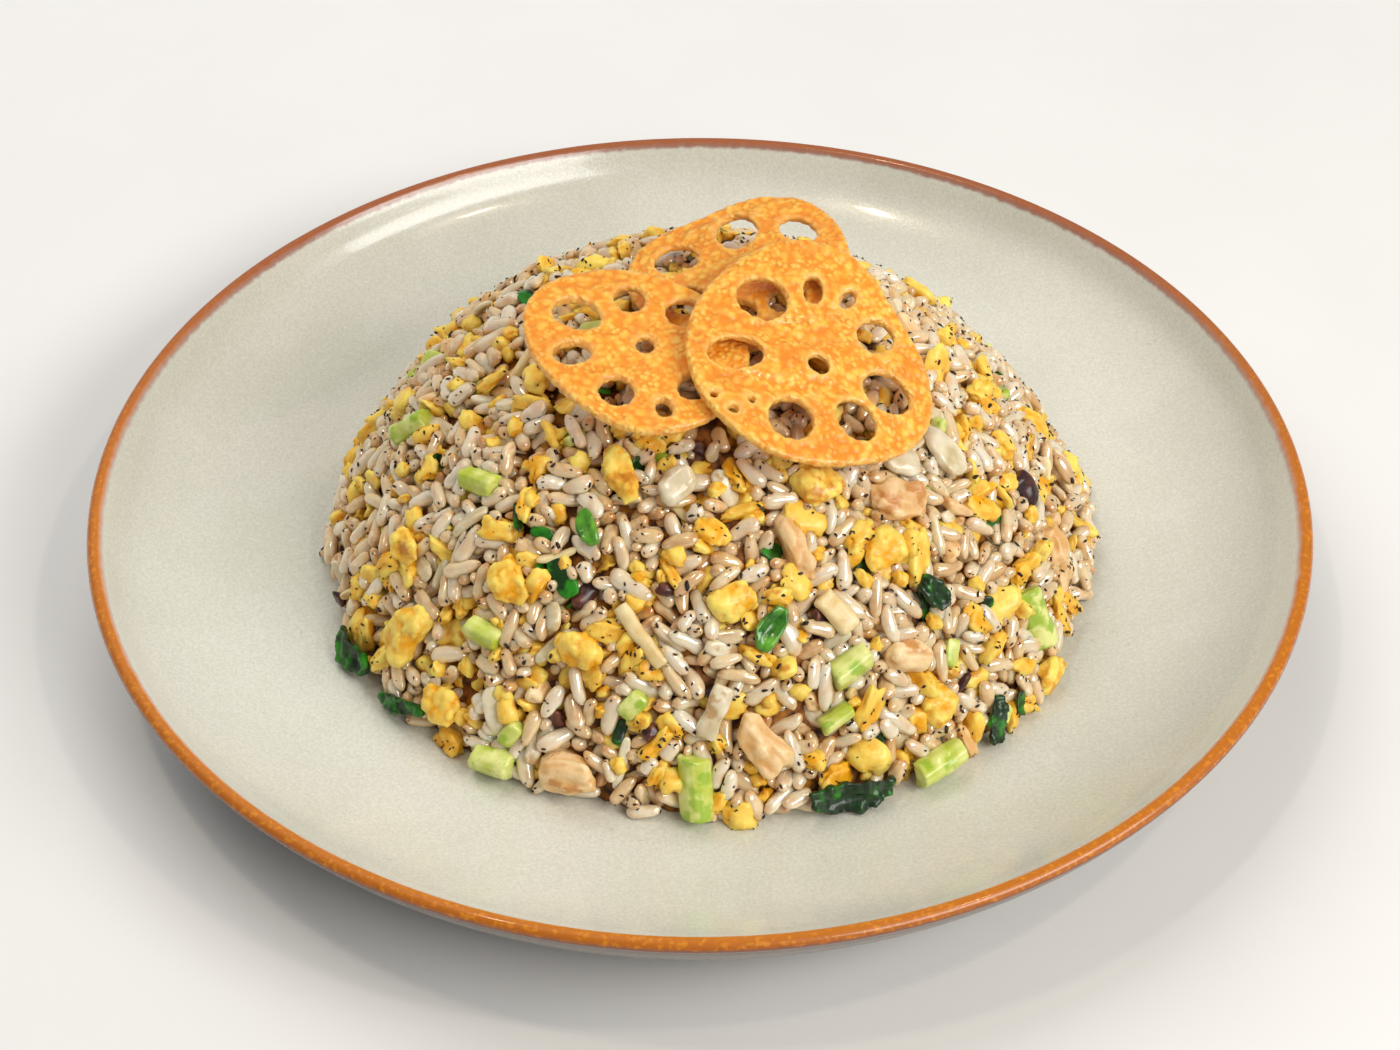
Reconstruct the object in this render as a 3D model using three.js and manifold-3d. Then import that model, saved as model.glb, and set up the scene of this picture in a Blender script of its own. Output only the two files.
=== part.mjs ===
// A plate of fried rice: a wide stoneware plate, a domed heap of rice with the larger pieces
// that lie in its surface, and three fried lotus root chips leaning on the top of the heap.
// Millimetres, +Z up. The origin is the centre of the plate's foot, on the table, and -Y is
// the side that faces the diner.

import * as THREE from 'three';
import { mergeVertices } from 'three/addons/utils/BufferGeometryUtils.js';
import Module from 'manifold-3d';

const wasm = await Module();
wasm.setup();

// ---------- driving dimensions ----------

const GAP = 0.35;                 // clearance between pieces that touch
const POCKET_GAP = 0.7;           // clearance round a piece that lies in the rice

const PLATE_RADIUS = 130;
const PLATE_HEIGHT = 27.4;
const FLOOR_TOP = 9;              // the eating surface, flat out to FLOOR_RADIUS
const FLOOR_RADIUS = 88;
const LIP_RADIUS = 1.6;           // half the thickness of the rolled rim
const FOOT_RADIUS = 69;
const FOOT_WIDTH = 6;
const FOOT_DEPTH = 3.6;
const PLATE_SIDES = 44;

const HEAP_X = 2.2;               // the foot of the heap sits a little off the plate's centre
const HEAP_LEAN = -1.9;           // and its top leans back over it
const HEAP_RADIUS = 85;
const HEAP_HEIGHT = 61.5;
const HEAP_ROUNDNESS = 2.4;       // exponent of the radius in the dome's outline
const HEAP_STEEPNESS = 1.2;       // exponent of the height in the dome's outline
const HEAP_LUMPS = 0.55;          // height of each of the three waves of unevenness
const HEAP_SIDES = 40;
const HEAP_ROWS = 11;

const CHIP_THICKNESS = 1.6;
const CHIP_SIDES = 32;
const HOLE_SIDES = 12;

const rad = THREE.MathUtils.degToRad;

function finish(color, roughness) {
  return new THREE.MeshStandardMaterial({ color, roughness, metalness: 0 });
}

const GLAZE = finish('#d5d2be', 0.25);
const RICE = finish('#d8c3a1', 0.5);
const LOTUS = finish('#f4b45c', 0.5);
const STALK = finish('#b9c46a', 0.4);
const LEAF = finish('#1f4a12', 0.45);
const EGG = finish('#f4c843', 0.6);
const CHICKEN = finish('#e4c39a', 0.55);
const GINGER = finish('#eadba8', 0.5);
const ONION = finish('#e3dcc0', 0.4);
const PURPLE = finish('#3f2430', 0.45);

// ---------- geometry helpers ----------

// Moves every vertex of a geometry and returns it as one closed, merged surface.
function shaped(geometry, move) {
  const plain = geometry.index ? geometry.toNonIndexed() : geometry.clone();
  const bare = new THREE.BufferGeometry();
  bare.setAttribute('position', plain.getAttribute('position'));
  const position = bare.getAttribute('position');
  const point = new THREE.Vector3();
  for (let i = 0; i < position.count; i += 1) {
    point.fromBufferAttribute(position, i);
    move(point);
    position.setXYZ(i, point.x, point.y, point.z);
  }
  const merged = mergeVertices(bare, 1e-3);
  merged.computeVertexNormals();
  return merged;
}

// The same surface pushed out by a margin. Each face counts by its angle at the vertex, so
// the flat side and the edge of a thin slab are pushed out alike.
function grown(geometry, margin) {
  const merged = shaped(geometry, () => {});
  const position = merged.getAttribute('position');
  const pushes = Array.from({ length: position.count }, () => new THREE.Vector3());
  const corners = [new THREE.Vector3(), new THREE.Vector3(), new THREE.Vector3()];
  const normal = new THREE.Vector3();
  for (let first = 0; first < merged.index.count; first += 3) {
    const ids = [0, 1, 2].map((k) => merged.index.getX(first + k));
    ids.forEach((id, k) => corners[k].fromBufferAttribute(position, id));
    new THREE.Triangle(...corners).getNormal(normal);
    ids.forEach((id, k) => {
      const toNext = corners[(k + 1) % 3].clone().sub(corners[k]);
      const toLast = corners[(k + 2) % 3].clone().sub(corners[k]);
      pushes[id].addScaledVector(normal, toNext.angleTo(toLast));
    });
  }
  pushes.forEach((push, id) => {
    const moved = new THREE.Vector3().fromBufferAttribute(position, id);
    moved.addScaledVector(push.normalize(), margin);
    position.setXYZ(id, moved.x, moved.y, moved.z);
  });
  return merged;
}

function solidOf(geometry) {
  const merged = shaped(geometry, () => {});
  return new wasm.Manifold(new wasm.Mesh({
    numProp: 3,
    vertProperties: merged.getAttribute('position').array,
    triVerts: new Uint32Array(merged.index.array),
  }));
}

function geometryOf(solid) {
  const mesh = solid.getMesh();
  const geometry = new THREE.BufferGeometry();
  geometry.setAttribute('position', new THREE.BufferAttribute(mesh.vertProperties, 3));
  geometry.setIndex(new THREE.BufferAttribute(mesh.triVerts, 1));
  geometry.computeVertexNormals();
  return geometry;
}

function named(name, geometry, material) {
  const mesh = new THREE.Mesh(geometry, material);
  mesh.name = name;
  return mesh;
}

// ---------- the plate ----------

function plateMesh() {
  const lipX = PLATE_RADIUS - LIP_RADIUS;
  const lipZ = PLATE_HEIGHT - LIP_RADIUS;
  const outside = new THREE.SplineCurve([
    new THREE.Vector2(FOOT_RADIUS + 2, FOOT_DEPTH),
    new THREE.Vector2(100, 5.4),
    new THREE.Vector2(113.5, 8.9),
    new THREE.Vector2(122.6, 14.9),
    new THREE.Vector2(127.6, 21.4),
    new THREE.Vector2(PLATE_RADIUS, lipZ),
  ]);
  const lip = new THREE.EllipseCurve(lipX, lipZ, LIP_RADIUS, LIP_RADIUS, 0, rad(150));
  const lipEnd = lip.getPoint(1);
  const inside = new THREE.SplineCurve([
    lipEnd,
    new THREE.Vector2(121.5, 19.2),
    new THREE.Vector2(111, 13.2),
    new THREE.Vector2(99, 9.9),
    new THREE.Vector2(FLOOR_RADIUS, FLOOR_TOP),
  ]);
  const profile = [
    new THREE.Vector2(0, FOOT_DEPTH),
    new THREE.Vector2(FOOT_RADIUS - FOOT_WIDTH - 1, FOOT_DEPTH),
    new THREE.Vector2(FOOT_RADIUS - FOOT_WIDTH, 0),
    new THREE.Vector2(FOOT_RADIUS, 0),
    ...outside.getPoints(6).slice(0, -1),
    ...lip.getPoints(5),
    ...inside.getPoints(5).slice(1),
    new THREE.Vector2(0, FLOOR_TOP),
  ];
  const geometry = new THREE.LatheGeometry(profile, PLATE_SIDES);
  geometry.rotateX(Math.PI / 2);
  return named('plate', geometry, GLAZE);
}

// ---------- the heap of rice ----------

// A point of the dome's outline: turn 0 is the foot of the heap and a quarter turn its top.
function domeOutline(turn) {
  return {
    radius: HEAP_RADIUS * Math.cos(turn) ** (2 / HEAP_ROUNDNESS),
    height: HEAP_HEIGHT * Math.sin(turn) ** (2 / HEAP_STEEPNESS),
  };
}

function domeRadiusAt(height) {
  return HEAP_RADIUS * (1 - (height / HEAP_HEIGHT) ** HEAP_STEEPNESS) ** (1 / HEAP_ROUNDNESS);
}

// The dome's axis leans, so its centre moves with height.
function domeX(height) {
  return HEAP_X + HEAP_LEAN * height / HEAP_HEIGHT;
}

function lumps(point) {
  const { x, y, z } = point;
  return HEAP_LUMPS * (
    Math.sin(0.21 * x + 0.13 * y + 3.1)
    + Math.sin(0.17 * y - 0.24 * z + 0.11 * x + 5.7)
    + Math.sin(0.33 * x - 0.29 * y + 0.2 * z + 0.5)
  );
}

// The outward normal of the smooth dome.
function domeNormal(azimuth, height, radius) {
  const slopeOut = HEAP_ROUNDNESS * radius ** (HEAP_ROUNDNESS - 1) / HEAP_RADIUS ** HEAP_ROUNDNESS;
  const slopeUp = HEAP_STEEPNESS * height ** (HEAP_STEEPNESS - 1) / HEAP_HEIGHT ** HEAP_STEEPNESS;
  return new THREE.Vector3(
    slopeOut * Math.cos(azimuth),
    slopeOut * Math.sin(azimuth),
    slopeUp,
  ).normalize();
}

function heapGeometry() {
  const corners = [new THREE.Vector3(HEAP_X, 0, FLOOR_TOP + GAP)];
  for (let row = 0; row < HEAP_ROWS; row += 1) {
    const { radius, height } = domeOutline(row / HEAP_ROWS * Math.PI / 2);
    for (let side = 0; side < HEAP_SIDES; side += 1) {
      const azimuth = side / HEAP_SIDES * 2 * Math.PI;
      const point = new THREE.Vector3(
        domeX(height) + radius * Math.cos(azimuth),
        radius * Math.sin(azimuth),
        FLOOR_TOP + GAP + height,
      );
      const normal = domeNormal(azimuth, Math.max(height, 1), radius);
      point.addScaledVector(normal, lumps(point));
      point.z = Math.max(point.z, FLOOR_TOP + GAP);
      if (row === 0) point.z = FLOOR_TOP + GAP;
      corners.push(point);
    }
  }
  const top = new THREE.Vector3(domeX(HEAP_HEIGHT), 0, FLOOR_TOP + GAP + HEAP_HEIGHT);
  top.z += lumps(top);
  corners.push(top);

  const at = (row, side) => 1 + row * HEAP_SIDES + side % HEAP_SIDES;
  const faces = [];
  for (let side = 0; side < HEAP_SIDES; side += 1) {
    faces.push(0, at(0, side + 1), at(0, side));
    for (let row = 0; row < HEAP_ROWS - 1; row += 1) {
      faces.push(at(row, side), at(row, side + 1), at(row + 1, side + 1));
      faces.push(at(row, side), at(row + 1, side + 1), at(row + 1, side));
    }
    faces.push(at(HEAP_ROWS - 1, side), at(HEAP_ROWS - 1, side + 1), corners.length - 1);
  }
  const geometry = new THREE.BufferGeometry().setFromPoints(corners);
  geometry.setIndex(faces);
  return geometry;
}

// ---------- pieces that lie in the heap ----------

// A length of crisp stem: a slab rolled across its width, with thin side edges and ends cut
// at a slant. Its length runs along X and its outer, convex side faces +Z.
function stalkGeometry({ length, width, thick, slant = 0.15 }) {
  const block = new THREE.BoxGeometry(length, width, thick, 1, 4, 1);
  return shaped(block, (p) => {
    const across = 2 * p.y / width;
    p.z *= 1 - 0.45 * across ** 2;
    p.z -= 0.3 * thick * across ** 2;
    p.x += slant * p.y;
  });
}

// A rounded, slightly squared lump, dented by waves whose phase is its seed.
function lumpGeometry({ length, width, thick, seed, dents = 0.12 }) {
  const ball = new THREE.SphereGeometry(1, 8, 5);
  const squared = (value) => Math.sign(value) * Math.abs(value) ** 0.72;
  return shaped(ball, (p) => {
    const wave = Math.sin(3.1 * p.x + 2.3 * p.y + seed) + Math.sin(2.7 * p.y - 3.3 * p.z + 2 * seed);
    const size = 1 + dents * wave;
    p.set(
      squared(p.x) * size * length / 2,
      squared(p.y) * size * width / 2,
      squared(p.z) * size * thick / 2,
    );
  });
}

// A wilted leaf: a thin sheet, narrow at its ends, folded along its length and waved.
function leafGeometry({ length, width, thick, seed, fold = 0.35 }) {
  const sheet = new THREE.BoxGeometry(length, width, thick, 5, 2, 1);
  return shaped(sheet, (p) => {
    const along = 2 * p.x / length;
    p.y *= 1 - 0.55 * along ** 2;
    p.z += fold * Math.abs(p.y) + 0.07 * width * Math.sin(4 * along + seed);
    p.y += 0.1 * width * Math.sin(2.5 * along + 2 * seed);
  });
}

// A thin stick with softened corners and a slight bend.
function batonGeometry({ length, width, thick, bend = 0.02 }) {
  const stick = new THREE.BoxGeometry(length, width, thick, 3, 2, 2);
  return shaped(stick, (p) => {
    const across = 2 * p.y / width;
    const up = 2 * p.z / thick;
    p.y *= 1 - 0.18 * up ** 2;
    p.z *= 1 - 0.18 * across ** 2;
    p.z -= bend * p.x ** 2;
  });
}

// Sets a piece into the dome's surface: its X axis lies along the surface, turned by twist
// from the level direction, and its outer side stands proud of the smooth dome.
function seated(name, geometry, material, { at: [azimuth, height], twist, proud, thick }) {
  const angle = rad(azimuth);
  const radius = domeRadiusAt(height);
  const out = domeNormal(angle, Math.max(height, 1), radius);
  const level = new THREE.Vector3(-Math.sin(angle), Math.cos(angle), 0);
  const along = level.applyAxisAngle(out, rad(twist));
  const across = out.clone().cross(along);
  const mesh = named(name, geometry, material);
  mesh.quaternion.setFromRotationMatrix(new THREE.Matrix4().makeBasis(along, across, out));
  mesh.position.set(
    domeX(height) + radius * Math.cos(angle),
    radius * Math.sin(angle),
    FLOOR_TOP + height,
  );
  mesh.position.addScaledVector(out, proud - thick / 2);
  const lowest = new THREE.Box3().setFromObject(mesh, true).min.z;
  mesh.position.z += Math.max(0, FLOOR_TOP + GAP - lowest);
  return mesh;
}

const KINDS = {
  stalk: { geometry: stalkGeometry, material: STALK, thick: 4.2, proud: 2 },
  leaf: { geometry: leafGeometry, material: LEAF, thick: 1.1, proud: 1.3 },
  egg: { geometry: lumpGeometry, material: EGG, thick: 4.2, proud: 2.1 },
  chicken: { geometry: lumpGeometry, material: CHICKEN, thick: 5.5, proud: 2 },
  baton: { geometry: batonGeometry, material: GINGER, thick: 2.8, proud: 1.7 },
  onion: { geometry: lumpGeometry, material: ONION, thick: 3.6, proud: 1.9 },
  purple: { geometry: lumpGeometry, material: PURPLE, thick: 3.6, proud: 1.8 },
};

// Each piece lies at an azimuth, counted round the heap from +X with -90 at the diner's side,
// and a height above the plate's floor. Twist 0 lies level and 90 points up the slope. Size
// is length and width.
const PIECES = [
  { name: 'stalk_front', kind: 'stalk', at: [-92, 6.8], twist: -86, size: [13, 6.4] },
  { name: 'stalk_low_left', kind: 'stalk', at: [-121, 3.4], twist: 6, size: [8.4, 5.6], proud: 2.6 },
  { name: 'stalk_left', kind: 'stalk', at: [-145, 42.8], twist: 19, size: [8.7, 5] },
  { name: 'stalk_upper_left', kind: 'stalk', at: [-174, 36.5], twist: 70, size: [10, 4.6] },
  { name: 'stalk_right', kind: 'stalk', at: [-67, 24.8], twist: 20, size: [8.4, 5.6] },
  { name: 'stalk_small', kind: 'stalk', at: [-71, 17.2], twist: 22, size: [7, 3.4] },
  { name: 'stalk_pale_right', kind: 'stalk', at: [-31, 13.7], twist: 83, size: [12.5, 7] },
  { name: 'cabbage_front', kind: 'stalk', at: [-58, 1.2], twist: 8, size: [10.5, 5.4], proud: 3.6 },
  { name: 'chicken_front', kind: 'chicken', at: [-110, 6.4], twist: 21, size: [13, 8.5] },
  { name: 'chicken_slab', kind: 'chicken', at: [-82, 14.4], twist: -51, size: [15, 7] },
  { name: 'chicken_top', kind: 'chicken', at: [-44, 43.5], twist: -39, size: [13, 8] },
  { name: 'chicken_right', kind: 'chicken', at: [-57, 23], twist: -35, size: [9, 6] },
  { name: 'leaf_front', kind: 'leaf', at: [-71, 3.4], twist: -6, size: [17.5, 6.6] },
  { name: 'leaf_right', kind: 'leaf', at: [-47, 4.4], twist: 65, size: [10, 4.6] },
  { name: 'leaf_left', kind: 'leaf', at: [-138, 4.2], twist: 24, size: [13, 3.6] },
  { name: 'leaf_left_side', kind: 'leaf', at: [-151, 4], twist: -2, size: [13.5, 6.4] },
  { name: 'leaf_mid_right', kind: 'leaf', at: [-49, 30], twist: -78, size: [8, 5.4] },
  { name: 'scallion_mid', kind: 'leaf', at: [-79, 33], twist: 60, size: [9.4, 5] },
  { name: 'scallion_upper', kind: 'leaf', at: [-115, 44.6], twist: -50, size: [7.4, 4] },
  { name: 'egg_flake_left', kind: 'egg', at: [-142, 15.5], twist: 76, size: [15, 8] },
  { name: 'egg_flake_mid', kind: 'egg', at: [-85, 37.4], twist: 34, size: [9.4, 7.2] },
  { name: 'egg_flake_top', kind: 'egg', at: [-61, 49.6], twist: 15, size: [10.4, 7] },
  { name: 'egg_curd_left', kind: 'egg', at: [-127, 33.8], twist: -49, size: [10, 7.3] },
  { name: 'egg_curd_upper', kind: 'egg', at: [-112, 51.5], twist: -51, size: [12, 6.2] },
  { name: 'egg_right', kind: 'egg', at: [-54, 39.1], twist: -11, size: [9, 7.4] },
  { name: 'egg_low_right', kind: 'egg', at: [-55, 13.2], twist: 39, size: [8.8, 6.9] },
  { name: 'egg_far_right', kind: 'egg', at: [-34, 3], twist: 24, size: [8.6, 6.2] },
  { name: 'egg_brown', kind: 'egg', at: [-111, 28.4], twist: 25, size: [10, 8] },
  { name: 'egg_low_left', kind: 'egg', at: [-131, 9.4], twist: 10, size: [9.4, 6.6] },
  { name: 'egg_left', kind: 'egg', at: [-151, 27.1], twist: -13, size: [8.6, 6.4] },
  { name: 'onion_round', kind: 'onion', at: [-97, 51.4], twist: 37, size: [8, 6.2] },
  { name: 'onion_top_right', kind: 'onion', at: [-38, 47], twist: -54, size: [9, 6] },
  { name: 'onion_right', kind: 'onion', at: [-26, 43.6], twist: 88, size: [12, 7.4] },
  { name: 'purple_right', kind: 'purple', at: [-15, 29], twist: -88, size: [8.4, 5.4] },
  { name: 'ham_right', kind: 'chicken', at: [-18, 18.6], twist: 71, size: [9.6, 5] },
  { name: 'chicken_shred', kind: 'chicken', at: [-71, 43.2], twist: -80, size: [13, 4.4] },
  { name: 'ginger_slice', kind: 'baton', at: [-67, 33.4], twist: -61, size: [8.6, 4.6] },
  { name: 'stalk_mid_left', kind: 'stalk', at: [-128, 24.6], twist: 1, size: [8, 4.8] },
  { name: 'ginger_baton', kind: 'baton', at: [-101, 31.9], twist: -47, size: [14, 3.1] },
  { name: 'onion_sliver', kind: 'baton', at: [-89, 20.8], twist: 69, size: [11, 4.2] },
];

function pieceMeshes() {
  return PIECES.map((piece, order) => {
    const { geometry, material, thick, proud } = KINDS[piece.kind];
    const [length, width] = piece.size;
    const form = geometry({ length, width, thick, seed: order });
    return seated(piece.name, form, material, { proud, thick, ...piece });
  });
}

// ---------- the lotus root chips ----------

// A closed ring of points whose radius varies as the given lobes: [count, height, degrees].
function lobedOutline(radius, lobes, sides) {
  const points = [];
  for (let side = 0; side < sides; side += 1) {
    const angle = side / sides * 2 * Math.PI;
    let reach = radius;
    for (const [count, height, peak] of lobes) {
      reach += height * Math.cos(count * (angle - rad(peak)));
    }
    points.push(new THREE.Vector2(reach * Math.cos(angle), reach * Math.sin(angle)));
  }
  return points;
}

// An air channel of the root: [distance from the chip's centre, its direction in degrees,
// half its width round the ring, half its width along the radius].
function channelOutline([distance, direction, around, outward]) {
  const points = [];
  for (let side = 0; side < HOLE_SIDES; side += 1) {
    const angle = -side / HOLE_SIDES * 2 * Math.PI;
    const point = new THREE.Vector2(
      distance + outward * Math.cos(angle),
      around * Math.sin(angle),
    );
    points.push(point.rotateAround(new THREE.Vector2(0, 0), rad(direction)));
  }
  return points;
}

// A thin slice, holes cut through, warped as it fries: cup lifts the whole rim, roll lifts
// it along one direction and lowers it along the other, and ripple waves the rim.
function chipMesh({ name, centre, tilt, radius, lobes, channels, cup, roll, rollAt, ripple }) {
  const slice = new THREE.Shape(lobedOutline(radius, lobes, CHIP_SIDES));
  for (const channel of channels) {
    slice.holes.push(new THREE.Path(channelOutline(channel)));
  }
  const flat = new THREE.ExtrudeGeometry(slice, { depth: CHIP_THICKNESS, bevelEnabled: false });
  const geometry = shaped(flat, (p) => {
    const out = Math.hypot(p.x, p.y) / radius;
    const angle = Math.atan2(p.y, p.x);
    p.z -= CHIP_THICKNESS / 2;
    p.z += cup * out ** 2;
    p.z += roll * out ** 2 * Math.cos(2 * (angle - rad(rollAt)));
    p.z += ripple * out ** 3 * Math.sin(5 * angle);
  });
  const up = new THREE.Vector3(tilt[0], tilt[1], 1).normalize();
  const right = new THREE.Vector3(1, 0, 0).projectOnPlane(up).normalize();
  const back = up.clone().cross(right);
  const mesh = named(name, geometry, LOTUS);
  mesh.quaternion.setFromRotationMatrix(new THREE.Matrix4().makeBasis(right, back, up));
  mesh.position.set(...centre);
  return mesh;
}

const CHIPS = [
  {
    name: 'lotus_chip_left',
    centre: [-12.6, -17.8, 74.7],
    tilt: [0.1, -0.12],
    radius: 22.1,
    lobes: [[2, 1.9, -42], [3, 0.5, 29]],
    cup: 0.3, roll: 0.7, rollAt: 15, ripple: 0.35,
    channels: [
      [14.1, 148, 4.6, 5.2], [13, 97, 3.4, 3.8], [13.2, -163, 3.1, 4.2], [1.7, 5, 2.4, 2],
      [13.4, -106, 3.7, 3.8], [17.5, -71, 1.8, 2.6], [13.6, 46, 4, 3.8], [15.6, -41, 4.2, 3.2],
    ],
  },
  {
    name: 'lotus_chip_back',
    centre: [8.5, 8.1, 74.9],
    tilt: [-0.12, -0.1],
    radius: 22.7,
    lobes: [[2, 1, 34], [3, 1, 48], [4, 0.8, -20]],
    cup: -1.5, roll: 0.5, rollAt: 50, ripple: 0.25,
    channels: [
      [11.6, 95, 4.5, 5.8], [15.9, 42, 4.9, 3.2], [14.4, 161, 4.4, 4.8], [1.5, 20, 2.2, 2],
      [14, -2, 4.2, 3.6], [13.5, -48, 4.2, 3.4], [13, -96, 4.4, 3.6], [14, -143, 4.2, 4],
    ],
  },
  {
    name: 'lotus_chip_front',
    centre: [21.5, -18.9, 73.8],
    tilt: [0.26, -0.26],
    radius: 26,
    lobes: [[2, 1.4, -77], [3, 1.5, -24], [4, 0.7, -16]],
    cup: -1.3, roll: 2, rollAt: 62, ripple: 0.3,
    channels: [
      [15.7, 126, 5.2, 5.6], [16, 86, 2.2, 3.7], [17, 61, 1.6, 2.8], [15.5, 26, 4, 4.2],
      [15, -172, 4.1, 5.8], [3.1, -54, 2.2, 2.5], [17.2, -20, 4.4, 5.4], [16.8, -56, 4.2, 5],
      [17.3, -104, 4.9, 5], [23.8, -145, 1.2, 1.2], [18.4, -131, 1.1, 1], [23.1, -133, 1.3, 1.3],
    ],
  },
];

// ---------- the whole ----------

function placed(mesh, margin) {
  mesh.updateMatrixWorld(true);
  return grown(mesh.geometry, margin).applyMatrix4(mesh.matrixWorld);
}

// The heap, hollowed where the larger pieces lie in it.
function heapMesh(neighbours) {
  let heap = solidOf(heapGeometry());
  for (const mesh of neighbours) heap = heap.subtract(solidOf(placed(mesh, POCKET_GAP)));
  return named('rice_mound', geometryOf(heap), RICE);
}

const pieces = pieceMeshes();
const chips = CHIPS.map(chipMesh);
const dish = new THREE.Group();
dish.add(plateMesh(), heapMesh([...pieces, ...chips]), ...pieces, ...chips);

export default dish;
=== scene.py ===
# %% [markdown]
# # A plate of fried rice with lotus root chips
#
# The dish is a wide stoneware plate, a pressed dome of fried rice that slumped a little when
# the bowl was lifted off it, and three fried slices of lotus root on top. The CAD model
# already says where the plate, the dome, forty of the larger pieces and the chips are, and
# how large they are. This notebook gives each of them the surface of the real thing. The
# frame is loaded first and never changed: every size below comes from it or from a few
# kitchen sizes, such as the length of a cooked grain. Shapes are worked out in millimetres
# and turned into metres only when a mesh is made.

# %% Load the frame
import bmesh
import bpy
import numpy as np
from mathutils.bvhtree import BVHTree
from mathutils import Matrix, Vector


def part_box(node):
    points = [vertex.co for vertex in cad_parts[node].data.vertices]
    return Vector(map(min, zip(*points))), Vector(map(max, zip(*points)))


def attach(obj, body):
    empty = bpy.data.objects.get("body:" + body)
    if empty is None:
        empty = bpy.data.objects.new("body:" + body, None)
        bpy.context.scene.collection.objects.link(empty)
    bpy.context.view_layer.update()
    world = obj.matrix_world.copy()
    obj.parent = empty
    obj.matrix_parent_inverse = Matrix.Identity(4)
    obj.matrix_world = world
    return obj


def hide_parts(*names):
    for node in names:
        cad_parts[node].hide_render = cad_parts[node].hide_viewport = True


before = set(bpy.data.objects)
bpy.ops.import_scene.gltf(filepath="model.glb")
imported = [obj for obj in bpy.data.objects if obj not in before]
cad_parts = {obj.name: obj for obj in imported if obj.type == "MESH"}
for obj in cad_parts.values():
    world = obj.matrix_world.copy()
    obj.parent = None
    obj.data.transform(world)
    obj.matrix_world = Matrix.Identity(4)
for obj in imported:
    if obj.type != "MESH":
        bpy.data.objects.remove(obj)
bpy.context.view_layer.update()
MM = 0.001


def box_mm(node):
    """Lowest and highest corner of a CAD node, in millimetres."""
    return [np.array(corner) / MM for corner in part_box(node)]


# %% [markdown]
# ## Table, light and camera
#
# Moist food is judged by its highlights. They come from one wide window low in front on the
# right, whose long reflection also lies in the glaze behind the heap on the left, and from
# two small warm ceiling lamps. Most of the plain light comes from a large panel above and
# behind on the left, which opens the shadows. It is kept out of reflections, or it would lie
# as a second bright square in the glaze. A single small lamp alone would give each grain a
# hard white dot and black gaps. The camera looks down at about 42 degrees, as a seated
# person does, through a longish lens that keeps the plate's ellipse regular.

# %% Table, light and camera
scene = bpy.context.scene
scene.view_settings.view_transform = "Standard"


def aim(thing, target):
    """Turns a camera or a lamp so that it looks at a point, given in metres."""
    direction = thing.location.copy() - type(thing.location)(target)
    thing.rotation_euler = direction.to_track_quat("Z", "Y").to_euler()


def softbox(name, place, target, width, depth, power, colour):
    """A rectangular lamp, its sides and place in metres and its power in watts."""
    lamp = bpy.data.lights.new(name, "AREA")
    lamp.shape = "RECTANGLE"
    lamp.size, lamp.size_y, lamp.energy, lamp.color = width, depth, power, colour
    holder = bpy.data.objects.new(name, lamp)
    scene.collection.objects.link(holder)
    holder.location = place
    aim(holder, target)
    return holder


CAMERA_PLACE = (0, -0.4244, 0.3907)
CAMERA_TARGET = (0, 0, 0.0118)
camera = bpy.data.objects.new("camera", bpy.data.cameras.new("camera"))
camera.data.sensor_width = 36
camera.data.lens = 66.86
camera.location = CAMERA_PLACE
aim(camera, CAMERA_TARGET)
scene.collection.objects.link(camera)
scene.camera = camera

WINDOW_TOWARDS = np.array((0.637, -0.498, 0.64))
WINDOW_AWAY = 1.1
FLOOR_MIDDLE, HEAP_MIDDLE = (0, 0, 0.02), (0, 0, 0.03)
DAYLIGHT, SKYLIGHT, LAMPLIGHT = (1, 0.985, 0.96), (0.99, 0.995, 1), (1, 0.82, 0.6)
softbox("window", WINDOW_TOWARDS * WINDOW_AWAY, FLOOR_MIDDLE, 0.95, 0.36, 9.4, DAYLIGHT)
panel = softbox("ceiling", (-0.4, 0.65, 0.95), HEAP_MIDDLE, 1.1, 1.1, 9.6, SKYLIGHT)
panel.visible_glossy = False
softbox("warm_lamp_right", (0.56, -0.235, 1.15), HEAP_MIDDLE, 0.1, 0.05, 1.5, LAMPLIGHT)
softbox("warm_lamp_left", (-0.35, -0.04, 1.25), HEAP_MIDDLE, 0.1, 0.05, 1.5, LAMPLIGHT)

world = bpy.data.worlds.new("studio")
world.use_nodes = True
world.node_tree.nodes["Background"].inputs["Color"].default_value = (0.93, 0.95, 1, 1)
world.node_tree.nodes["Background"].inputs["Strength"].default_value = 0.26
scene.world = world

# %% [markdown]
# ## Shader sums as plain sums
#
# Colours and roughness come from small calculations. Written as nodes and links they are
# long and hard to check, so a thin wrapper lets Python's own signs build them: `speckle *
# 0.3 + 0.1` adds two Math nodes. `Wire` is one output socket. `Finish` is one material, and
# its `node` method adds any other node: first its settings, then its inputs.

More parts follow.
